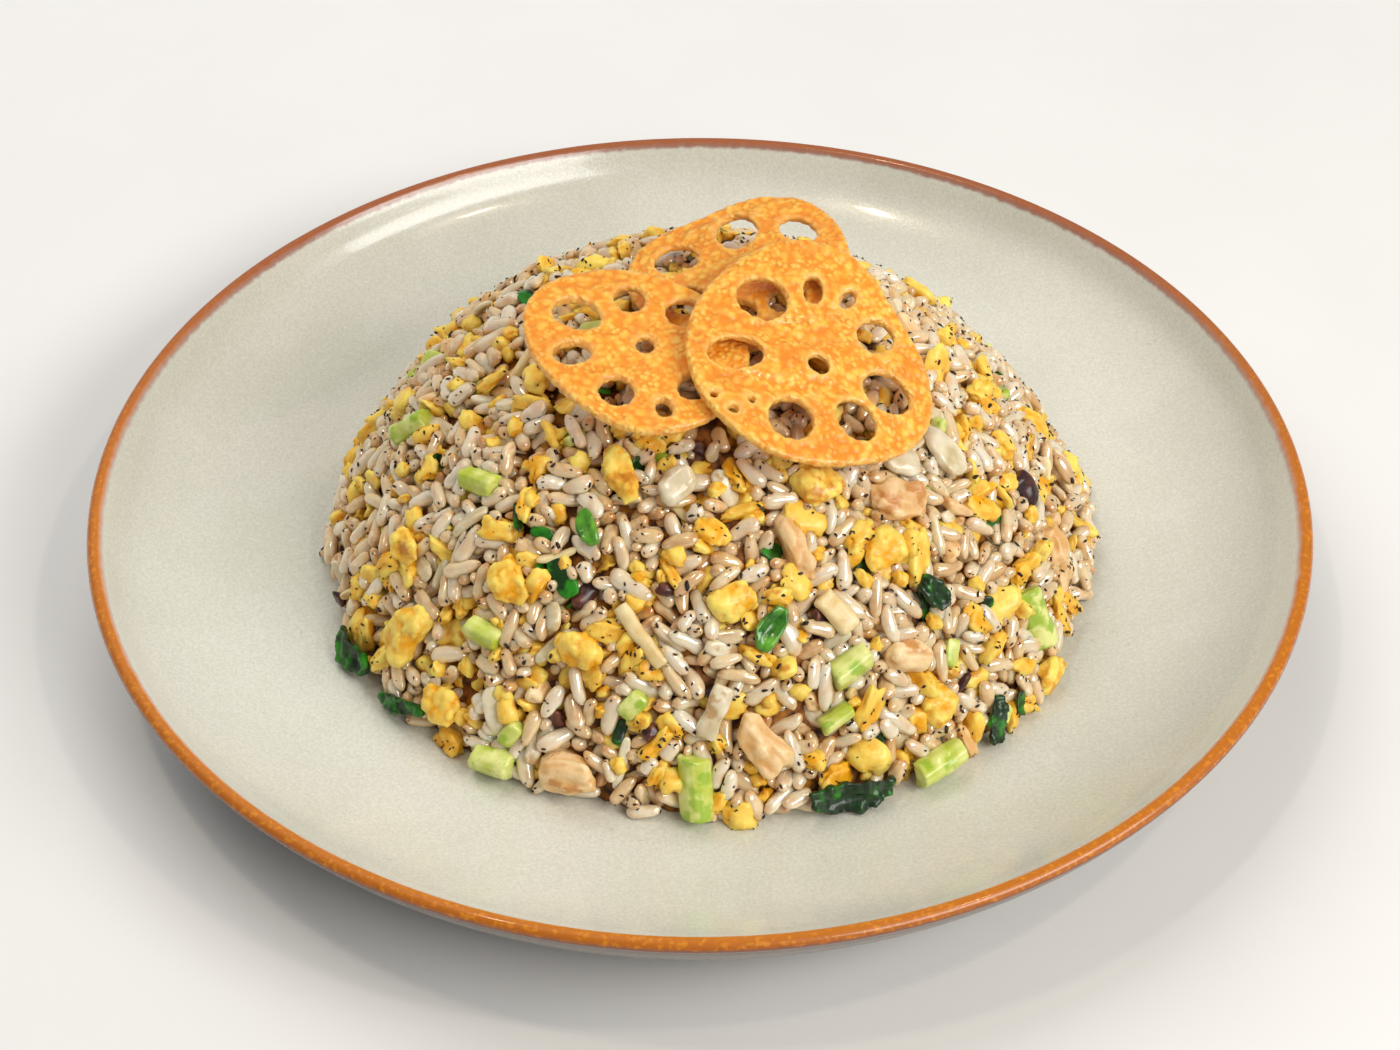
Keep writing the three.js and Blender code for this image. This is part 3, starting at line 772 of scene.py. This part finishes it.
def pieces_of(kind, bead, form, finish):
    """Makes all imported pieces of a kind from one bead, shaped by form."""
    template = bead[0]
    order = list(KINDS).index(kind)
    chosen = np.flatnonzero(which == order)
    count = len(chosen)
    local, height = form(template, count, order * 7)
    local = local * np.stack([length, width, thick], 1)[chosen, None] / 2
    along = heading[chosen]
    across = np.cross(outward[chosen] + TILT * dice.normal(size=(count, 3)), along)
    across /= np.linalg.norm(across, axis=1)[:, None]
    points = laid_out(centre[chosen], local, along, across, np.cross(along, across))
    points[..., 2] = np.maximum(points[..., 2], FLOOR_TOP + SURFACE_GAP)
    piece = joined(kind, bead, points, finish)
    # The depth term is painted shade: it stains the rice darker the deeper it lies.
    tone = 0.75 * dice.random(count) + DEPTH_SHADE * (depth[chosen] - PALE_DEPTH)
    store(piece, "tone", np.repeat(np.clip(tone, 0, 1), len(template)))
    store(piece, "height", np.clip(height, 0, 1))
    store(piece, "end", np.tile(np.abs(template[:, 0]), count))


# %% Forms of a grain and of a lump
def grain_form(template, count, salt):
    """Plump, blunt-ended, a little bent, grooved and uneven."""
    x, y, z = template.T
    turned = np.maximum(np.hypot(y, z), 1e-6)
    blunt = np.sqrt(np.clip(1 - np.abs(x) ** 3.3, 0, 1)) / turned
    around = np.arctan2(z, y)
    phase, bend, taper, groove = (dice.uniform(low, high, (count, 1)) for low, high in
                                  ((0, 2 * np.pi), (-0.24, 0.38), (-0.22, 0.22), (0.03, 0.15)))
    swell = blunt * (1 + taper * x + groove * np.cos(2 * around + phase)
                     + 0.04 * np.sin(3 * np.pi * x / 2 + phase))
    offset = dice.uniform(0, 300, (count, 1, 3))
    dent = waver(template[None] * np.array([2.2, 1.1, 1.1]) + offset, 1.0, salt)
    swell = swell * (1 + 0.15 * dent)
    bent = bend * (x ** 2 - 0.35)
    local = np.stack([np.broadcast_to(x, swell.shape), y * swell + bent, z * swell], -1)
    return local, (0.5 + 0.5 * dent).ravel()


def lump_form(square, dents, curl=0.0, bumps=0.0):
    """A lump: square makes it boxy below 1, dents and bumps roughen it, curl bends it."""
    def form(template, count, salt):
        boxed = np.sign(template) * np.abs(template) ** square
        offset = dice.uniform(0, 300, (count, 1, 3))
        wide = waver(template[None] * 0.9 + offset, 1.0, salt)
        small = waver(template[None] * 2.6 + offset, 1.0, salt + 1)
        swell = 1 + dents * (0.7 * wide + 0.45 * small)
        if bumps:
            swell = swell + bumps * bubbles(template[None] * 1.7 + offset, 1.0, salt + 2)
        local = boxed[None] * swell[..., None]
        bend = curl * dice.uniform(-1, 1, (count, 1))
        local[..., 2] += bend * (boxed[None, :, 0] ** 2 - 0.4) * 2
        return local, (0.5 + 0.35 * wide + 0.3 * small).ravel()
    return form


# %% [markdown]
# ## Cooked rice
#
# A cooked grain is a wet starch gel: light enters, scatters for about a millimetre and comes
# out again, which is why it looks pearly rather than painted. Subsurface scattering at that
# scale does it. Oil makes it shine in small, sharp spots, so there is a thin coat. Most
# grains are grey-white with a trace of soy. Some took more of it, darker toward the ends.
# Those that lie deeper are painted browner, and each grain's hollows are painted darker, both
# as painted shade. A dust of pepper lies over all.

# %% Finish and make the rice
def rice_finish(name, pearl, stained, ends):
    """Pearly or stained by the grain's tone, which also holds painted shade for deeper grains, darker
    at its ends, with painted shade in its hollows.
    """
    rice = Finish(name, Subsurface_Weight=0.85, Subsurface_Scale=0.0017,
                  Subsurface_Radius=(1.0, 0.72, 0.42),
                  Coat_Weight=1.0, Coat_Roughness=0.11, Coat_IOR=2.1, IOR=1.5)
    tone, height = rice.value("tone"), rice.value("height")
    blot = rice.noise(1.9, 2)
    share = (tone * 0.9 + blot.rise(0.35, 0.7) * 0.35 - 0.12).clamped()
    colour = rice.mix(share, pearl, stained)
    colour = rice.mix(rice.value("end").rise(0.6, 1.0) * (0.15 + tone * 0.7), colour, ends)
    # Painted shade: the hollows of the grain's relief are darkened toward the end colour.
    colour = rice.mix(height.rise(0.55, 0.25) * 0.35, colour, ends)
    rice.feed("Base Color", rice.dusted(colour))
    rice.feed("Roughness", 0.2 + blot * 0.2)
    rice.bump(rice.noise(0.9, 2), 0.06)
    return rice


grain_bead = rod_bead(8, 9)
plain_rice = rice_finish("rice_pearly", pearl=srgb(242, 228, 204), stained=srgb(233, 210, 170),
                         ends=srgb(214, 160, 84))
soy_rice = rice_finish("rice_soy_stained", pearl=srgb(238, 216, 176), stained=srgb(224, 184, 120),
                       ends=srgb(188, 122, 36))
pieces_of("rice_plain", grain_bead, grain_form, plain_rice)
pieces_of("rice_soy", grain_bead, grain_form, soy_rice)
pieces_of("rice_broken", grain_bead, grain_form, plain_rice)

# %% [markdown]
# ## Egg, vegetables and meat
#
# Each of these gets one finish, used for both the loose bits and the larger pieces. All read
# two numbers from the mesh: `tone`, one value for a whole piece, and `height`, the relief.
# The colour follows the relief, crests pale as painted light and hollows deep as painted
# shade, but a leaf's lighter veins are its own colour. Egg is matte and porous and browns in
# patches. Stems are wet and striped along their length. Chicken is pale with tan, seared
# edges. A leaf is a thin dark film with lighter veins, glossy with oil.

# %% Finishes of the other foods
def food_finish(name, low, high, seared, sear_from, rough, relief, scatter, coat):
    """Colour from low relief, as painted shade, to high relief, as painted light, seared in
    patches. The colours are screen values, and relief is the size and the depth of the finest
    bumps in millimetres."""
    food = Finish(name, Subsurface_Weight=scatter, Subsurface_Scale=0.0012,
                  Subsurface_Radius=(1.0, 0.6, 0.3), Coat_Weight=coat, Coat_Roughness=0.15, IOR=1.4)
    tone, height = food.value("tone"), food.value("height")
    blot = food.noise(2.4, 3)
    # Painted light and shade: crests take the high colour and hollows the low one; a leaf's lighter
    # veins are its own colour.
    share = (height.rise(0.2, 0.8) * 0.7 + (blot - 0.5) * 1.2 + tone * 0.3).clamped()
    patch = (food.noise(4.2, 3) + tone * 0.22).rise(sear_from, sear_from + 0.12)
    colour = food.mix(share, srgb(*low), srgb(*high))
    food.feed("Base Color", food.dusted(food.mix(patch * 0.85, colour, srgb(*seared))))
    food.feed("Roughness", rough + blot * 0.18)
    food.bump(food.noise(relief[0], 3), relief[1])
    return food


egg_finish = food_finish(
    "scrambled_egg", low=(241, 170, 12), high=(255, 228, 112), seared=(210, 132, 16),
    sear_from=0.74, rough=0.34, relief=(0.8, 0.16), scatter=0.35, coat=0.3)
stalk_finish = food_finish(
    "pale_green_stem", low=(184, 200, 62), high=(234, 236, 156), seared=(150, 186, 44),
    sear_from=0.6, rough=0.22, relief=(0.9, 0.05), scatter=0.35, coat=0.4)
chicken_finish = food_finish(
    "seared_chicken", low=(222, 172, 106), high=(247, 218, 168), seared=(202, 134, 62),
    sear_from=0.7, rough=0.32, relief=(0.7, 0.12), scatter=0.3, coat=0.2)
ginger_finish = food_finish(
    "ginger_slivers", low=(222, 192, 128), high=(246, 230, 182), seared=(206, 160, 92),
    sear_from=0.74, rough=0.3, relief=(0.6, 0.07), scatter=0.3, coat=0.25)
onion_finish = food_finish(
    "soft_onion", low=(206, 186, 140), high=(240, 232, 206), seared=(190, 150, 96),
    sear_from=0.72, rough=0.16, relief=(1.2, 0.05), scatter=0.45, coat=0.5)
dark_finish = food_finish(
    "red_onion_skin", low=(58, 26, 30), high=(118, 62, 40), seared=(36, 18, 26),
    sear_from=0.56, rough=0.3, relief=(0.8, 0.1), scatter=0.1, coat=0.35)
leaf_finish = food_finish(
    "wilted_leaf", low=(6, 38, 4), high=(38, 136, 12), seared=(3, 18, 4),
    sear_from=0.56, rough=0.3, relief=(0.7, 0.1), scatter=0.05, coat=0.35)
scallion_finish = food_finish(
    "scallion_green", low=(20, 92, 8), high=(112, 182, 52), seared=(14, 70, 10),
    sear_from=0.64, rough=0.16, relief=(1.0, 0.04), scatter=0.3, coat=0.6)

# %% Make the loose bits
lump_bead = round_bead(3)
curd_form = lump_form(0.8, 0.62, curl=0.45, bumps=0.35)
pieces_of("egg_curds", lump_bead, curd_form, egg_finish)
pieces_of("egg_crumbs", grain_bead, curd_form, egg_finish)
pieces_of("stalk_dice", lump_bead, lump_form(0.5, 0.12), stalk_finish)
pieces_of("onion_slivers", lump_bead, lump_form(0.7, 0.16, curl=0.5), onion_finish)
pieces_of("chicken_bits", lump_bead, lump_form(0.72, 0.34, curl=0.2), chicken_finish)
pieces_of("ginger_sticks", lump_bead, lump_form(0.6, 0.12, curl=0.4), ginger_finish)
pieces_of("leaf_scraps", lump_bead, lump_form(0.75, 0.3, curl=1.4), leaf_finish)
pieces_of("dark_bits", lump_bead, lump_form(0.75, 0.4, curl=0.3), dark_finish)

# %% [markdown]
# ## The dark inside of the heap
#
# Between the grains one looks a few millimetres in, at more rice in shadow. Filling the dome
# with grains would cost a million triangles that nobody sees, so a core stands in: the same
# dome, a shell's depth smaller, in the brown of shaded rice, with a relief of bumps the size
# of a grain's width.

# %% Make the core
CORE_DEPTH = 4.1
CORE_TURNS, CORE_ROWS = 240, 70
CORE_GAP = 0.1


def dome_points(depth_wanted, turns, rows):
    """Rows of points at a depth under the dome, from its foot up to just below the top."""
    middle = np.array([DOME_X, 0, FLOOR_TOP])
    turn, lift = np.meshgrid(np.arange(turns) * 2 * np.pi / turns,
                             np.linspace(0.0, np.pi / 2, rows, endpoint=False))
    away = np.stack([np.cos(lift) * np.cos(turn), np.cos(lift) * np.sin(turn), np.sin(lift)], -1)
    distance = np.full(away.shape[:-1], DOME_HEIGHT)
    for _ in range(30):
        depth_now, out = dome_depth(middle + away * distance[..., None])
        facing = np.maximum((out * away).sum(axis=-1), 0.4)
        distance += np.clip((depth_now - depth_wanted) / facing, -6, 6)
    return middle + away * distance[..., None]


grid = dome_points(CORE_DEPTH, CORE_TURNS, CORE_ROWS)
lumps = bubbles(grid, 3.2, 40) + 0.35 * waver(grid, 1.3, 44)
grid += dome_depth(grid)[1] * lumps[..., None]
grid[0, :, 2] = FLOOR_TOP + CORE_GAP
core_top = grid[-1].mean(axis=0)
core_bottom = np.array([DOME_X, 0, FLOOR_TOP + CORE_GAP])
core_points = np.vstack([grid.reshape(-1, 3), core_top, core_bottom])
side = np.arange(CORE_TURNS)
after = (side + 1) % CORE_TURNS
row = np.arange(CORE_ROWS)[:, None] * CORE_TURNS
here, beside = row[:-1] + side, row[:-1] + after
above, beside_above = here + CORE_TURNS, beside + CORE_TURNS
top, bottom = (np.full(CORE_TURNS, len(core_points) - number) for number in (2, 1))
corners = [(here, beside, beside_above), (here, beside_above, above),
           (row[-1] + side, row[-1] + after, top), (after, side, bottom)]
core_faces = np.vstack([np.stack(corner, -1).reshape(-1, 3) for corner in corners])

shaded = Finish("shaded_rice", IOR=1.4)
grainy = shaded.noise(2.6, 3)
eggy = shaded.noise(5, 2).rise(0.55, 0.68) * 0.6
shade = shaded.mix(grainy.rise(0.35, 0.65), srgb(58, 30, 8), srgb(158, 98, 32))
shaded.feed("Base Color", shaded.mix(eggy, shade, srgb(206, 138, 16)))
shaded.feed("Roughness", 0.45 + grainy * 0.3)
shaded.bump(shaded.noise(1.2, 2), 0.3)
piece_from("rice_core", core_points, core_faces, shaded, ["rice_mound"])
print("core:", len(core_faces), "triangles")

# %% [markdown]
# ## The larger pieces
#
# The CAD model sets forty pieces into the surface: stems, leaves, egg, chicken, onion. Their
# place and size are right, but their faces are flat and their edges sharp. Each is copied,
# remeshed in fine voxels, smoothed until the facets are gone, and then given the relief of
# what it is: ribs along a stem, fibres along chicken, bubbles on egg, wrinkles on a leaf.
# Sculpting them by hand would look as good, but a formula in the piece's own directions
# fits all of a kind at once.

# %% Soften and carve a CAD piece
FINE_VOXEL = 0.42
PLUMPED = 0.12


def softened(node, name, passes):
    """A copy of a CAD node, remeshed in fine voxels and smoothed."""
    fine = bpy.data.objects.new(name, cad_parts[node].data.copy())
    scene.collection.objects.link(fine)
    remesh = fine.modifiers.new("remesh", "REMESH")
    remesh.mode = "VOXEL"
    remesh.voxel_size = FINE_VOXEL * MM
    smooth = fine.modifiers.new("smooth", "SMOOTH")
    smooth.iterations = passes
    bpy.context.view_layer.update()
    graph = bpy.context.evaluated_depsgraph_get()
    mesh = bpy.data.meshes.new_from_object(fine.evaluated_get(graph))
    fine.modifiers.clear()
    fine.data = mesh
    mesh.name = name
    mesh.shade_smooth()
    return fine


# Each relief returns how far every point moves out, in millimetres, and its stored height.
def stem_relief(local, points):
    """Ribs along the stem."""
    ribs = np.cos(2 * np.pi * local[:, 1] / 1.15)
    slow = waver(points, 2.6, 51)
    return 0.03 * ribs + 0.22 * slow, 0.5 + 0.05 * ribs + 0.4 * slow


def leaf_relief(local, points):
    """Folds, and sunken veins along the leaf."""
    veins = np.abs(waver(local * np.array([0.7, 1.0, 1.0]), 2.1, 52))
    fold = waver(points, 1.5, 53)
    return 0.7 * fold - 0.2 * veins, 0.4 + 0.3 * (veins < 0.1) + 0.45 * fold


def egg_relief(local, points):
    """Bubbles of two sizes on a lumpy curd."""
    bumps = bubbles(points, 2.3, 54) + 0.4 * bubbles(points, 1.1, 58)
    slow = waver(points, 3.6, 60)
    return 0.5 * bumps + 0.8 * slow - 0.3, 0.2 + 0.5 * bumps + 0.3 * slow


def meat_relief(local, points):
    """Fibres along the piece."""
    fibres = waver(local * np.array([0.22, 1.0, 1.0]), 0.8, 61)
    slow = waver(points, 3.2, 62)
    return 0.26 * fibres + 0.7 * slow, 0.5 + 0.4 * fibres + 0.35 * slow


def soft_relief(local, points):
    """Slow dents only."""
    slow = waver(points, 2.8, 63)
    return 0.35 * slow, 0.5 + 0.4 * slow


HERO_LOOKS = {
    "stalk": (stem_relief, stalk_finish, "pale_stalk", 3),
    "cabbage": (stem_relief, stalk_finish, "pale_stalk", 3),
    "leaf": (leaf_relief, leaf_finish, "green_leaf", 2),
    "scallion": (stem_relief, scallion_finish, "green_leaf", 3),
    "egg": (egg_relief, egg_finish, "egg", 5),
    "chicken": (meat_relief, chicken_finish, "chicken", 5),
    "ham": (meat_relief, chicken_finish, "chicken", 5),
    "onion": (soft_relief, onion_finish, "onion", 6),
    "ginger": (soft_relief, ginger_finish, "ginger", 4),
    "purple": (soft_relief, dark_finish, "red_onion", 5),
}
for node in hero_nodes:
    relief, finish, slot, passes = HERO_LOOKS[node.split("_")[0]]
    slot = "ginger" if node == "onion_sliver" else slot
    middle, axes = heroes[node][:2]
    piece = softened(node, node + "_cooked", passes)
    points, normals = points_of(piece.data), normals_of(piece.data)
    push, height = relief((points - middle) @ axes.T, points)
    points += normals * (push + PLUMPED)[:, None]
    points[:, 2] = np.maximum(points[:, 2], FLOOR_TOP + SURFACE_GAP)
    move_points(piece, points)
    settle(piece, finish, [node])
    store(piece, "tone", np.full(len(points), dice.random()))
    store(piece, "height", np.clip(height, 0, 1))
print("larger pieces:", len(hero_nodes))

# %% [markdown]
# ## Lotus root chips
#
# Thin slices of the root, fried until they blister. The surface is a crust of pale yellow
# bubbles with deeper orange between them, the rims of the slice and of its holes curl up and
# are painted lighter as painted light, and the sheet is wavy. Bump alone would leave a smooth
# outline, so the larger blisters are real relief on a fine remesh of the CAD chip, and the
# finish adds a froth of small ones in its cells. The distance to the nearest rim, and the
# browning with painted shade that is darkest on the back chip, are stored on the points, and
# the finish reads them back.

# %% Fry the chips
fried = Finish("fried_lotus", Subsurface_Weight=0.4, Subsurface_Scale=0.0014,
               Subsurface_Radius=(1.0, 0.55, 0.2), Coat_Weight=0.55, Coat_Roughness=0.14, IOR=1.45)
edge, browning_and_shade = fried.value("edge"), fried.value("brown")
blotch = fried.noise(6, 3)
big_bubble = fried.cells(1.9, 1.0).rise(0.75, 0.2)
small_bubble = fried.cells(1.2, 0.7).rise(0.75, 0.2)
froth = fried.noise(4, 1).rise(0.42, 0.58)
froth = froth * big_bubble + (1 - froth) * small_bubble
crust = fried.ramp(
    froth * 0.7 + (fried.noise(2.2, 2) - 0.5) * 0.8,
    (0.0, srgb(236, 148, 38)), (0.3, srgb(248, 178, 60)),
    (0.65, srgb(252, 199, 84)), (1.0, srgb(255, 224, 132)))
crust = fried.mix(blotch.rise(0.48, 0.64) * 0.5, crust, srgb(232, 138, 36))
# Painted light: the rims of the slice and of its holes are lightened.
crust = fried.mix(edge.rise(1.8, 0.2) * 0.6, crust, srgb(253, 210, 118))
# Browning and painted shade: the chips that lie in shadow, most of all the back chip, are darkened.
crust = fried.mix(browning_and_shade * 0.5, crust, srgb(212, 112, 20))
fried.feed("Base Color", crust)
fried.feed("Roughness", 0.24 + blotch * 0.2)
fried.bump(froth, 0.3)

CHIP_PASSES = 20
BIG_BLISTER, SMALL_BLISTER = 2.6, 1.5
BLISTER_LIFT, WAVE_LIFT = 0.3, 0.28
RIM_CURL, RIM_REACH = 0.4, 0.9
FLAT_ENOUGH = 0.6
# Browning with painted shade for each chip: the back chip, in shadow, gets the most, the front chip
# the least.
CHIP_BROWNING_AND_SHADE = {"lotus_chip_left": 0.3, "lotus_chip_back": 0.5, "lotus_chip_front": 0.1}
for salt, node in enumerate(chip_nodes):
    chip = softened(node, node + "_fried", CHIP_PASSES)
    points, normals = points_of(chip.data), normals_of(chip.data)
    facing = measured(node)[1][2]
    flat = np.abs(normals @ facing)
    walls = np.array([face.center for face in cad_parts[node].data.polygons
                      if abs(np.dot(face.normal, facing)) < FLAT_ENOUGH]) / MM
    rim = np.array([np.linalg.norm(walls - point, axis=1).min() for point in points])
    blisters = np.maximum(0.8 * bubbles(points, BIG_BLISTER, 70 + salt),
                          0.7 * bubbles(points, SMALL_BLISTER, 80 + salt))
    blisters += 0.3 * waver(points, 1.7, 75 + salt)
    slow = waver(points, 5.5, 90 + salt)
    lift = BLISTER_LIFT * blisters + WAVE_LIFT * slow + RIM_CURL * np.exp(-rim / RIM_REACH)
    points += normals * (lift * (0.35 + 0.65 * flat))[:, None]
    move_points(chip, points)
    settle(chip, fried, [node])
    store(chip, "edge", rim)
    # The stored brown is real browning with painted shade.
    brown = CHIP_BROWNING_AND_SHADE[node] + 0.35 * waver(points, 9, 95 + salt)
    store(chip, "brown", np.clip(brown, 0, 1))
    print(node, len(chip.data.polygons), "faces")

# %% [markdown]
# ## Ground pepper
#
# Coarse pepper lies on everything. Each flake is a chipped, angular bead half a millimetre
# across, sunk into the surface it sticks to, so the flakes are placed on points of the food
# meshes that are near the dome's surface and look outward.

# %% Scatter the pepper
PEPPER_COUNT = 3100
FLAKE_HALF, FLAKE_SPREAD = 0.3, 0.38
FLAKE_SHAPE = np.array([1.25, 0.6, 0.4])
NEAR_SURFACE, LOOKING_OUT = 0.9, 0.45
pepper = Finish("ground_pepper", IOR=1.45)
husk = pepper.noise(0.4, 2)
pepper.feed("Base Color", pepper.mix(husk.rise(0.4, 0.65), srgb(22, 15, 12), srgb(74, 48, 30)))
pepper.feed("Roughness", 0.45 + husk * 0.3)

seats, facing = [], []
for kind in ("rice_plain", "rice_soy", "rice_broken", "egg_curds", "chicken_bits"):
    mesh = bpy.data.objects[kind].data
    seats.append(points_of(mesh))
    facing.append(normals_of(mesh))
seats, facing = np.vstack(seats), np.vstack(facing)
seat_depth, seat_out = dome_depth(seats)
seen = (seat_depth < NEAR_SURFACE) & ((seat_out * facing).sum(axis=1) > LOOKING_OUT)
taken = dice.choice(np.flatnonzero(seen), PEPPER_COUNT, replace=False)
flake_bead = round_bead(1)
flake_size = np.exp(dice.normal(np.log(FLAKE_HALF), FLAKE_SPREAD, (PEPPER_COUNT, 1))) * FLAKE_SHAPE
chips_off = 0.35 * dice.uniform(-1, 1, (PEPPER_COUNT, len(flake_bead[0]), 1))
flakes = flake_bead[0] * (1 + chips_off) * flake_size[:, None] + (0, 0, SURFACE_GAP)
flake_long = np.cross(facing[taken], dice.normal(size=(PEPPER_COUNT, 3)))
flake_long /= np.linalg.norm(flake_long, axis=1)[:, None]
flake_wide = np.cross(facing[taken], flake_long)
flakes = laid_out(seats[taken], flakes, flake_long, flake_wide, facing[taken])
joined("pepper_flakes", flake_bead, flakes, pepper)

# %% [markdown]
# ## The table
#
# A plain pale surface that catches the plate's shadow. It is a stage, not part of the dish.
# It is a plane that is much larger than the view, so no edge shows from any side, and a
# very faint mottling keeps it from looking like empty paper.

# %% Set the table
TABLE_HALF = 3.0
bpy.ops.mesh.primitive_plane_add(size=2 * TABLE_HALF)
table = bpy.context.object
table.name = "table"
top = Finish("pale_table", IOR=1.4)
grain = top.noise(60, 3)
top.feed("Base Color", top.mix(grain, srgb(226, 225, 222), srgb(233, 232, 229)))
top.feed("Roughness", 0.6 + grain * 0.1)
table.data.materials.append(top.material)
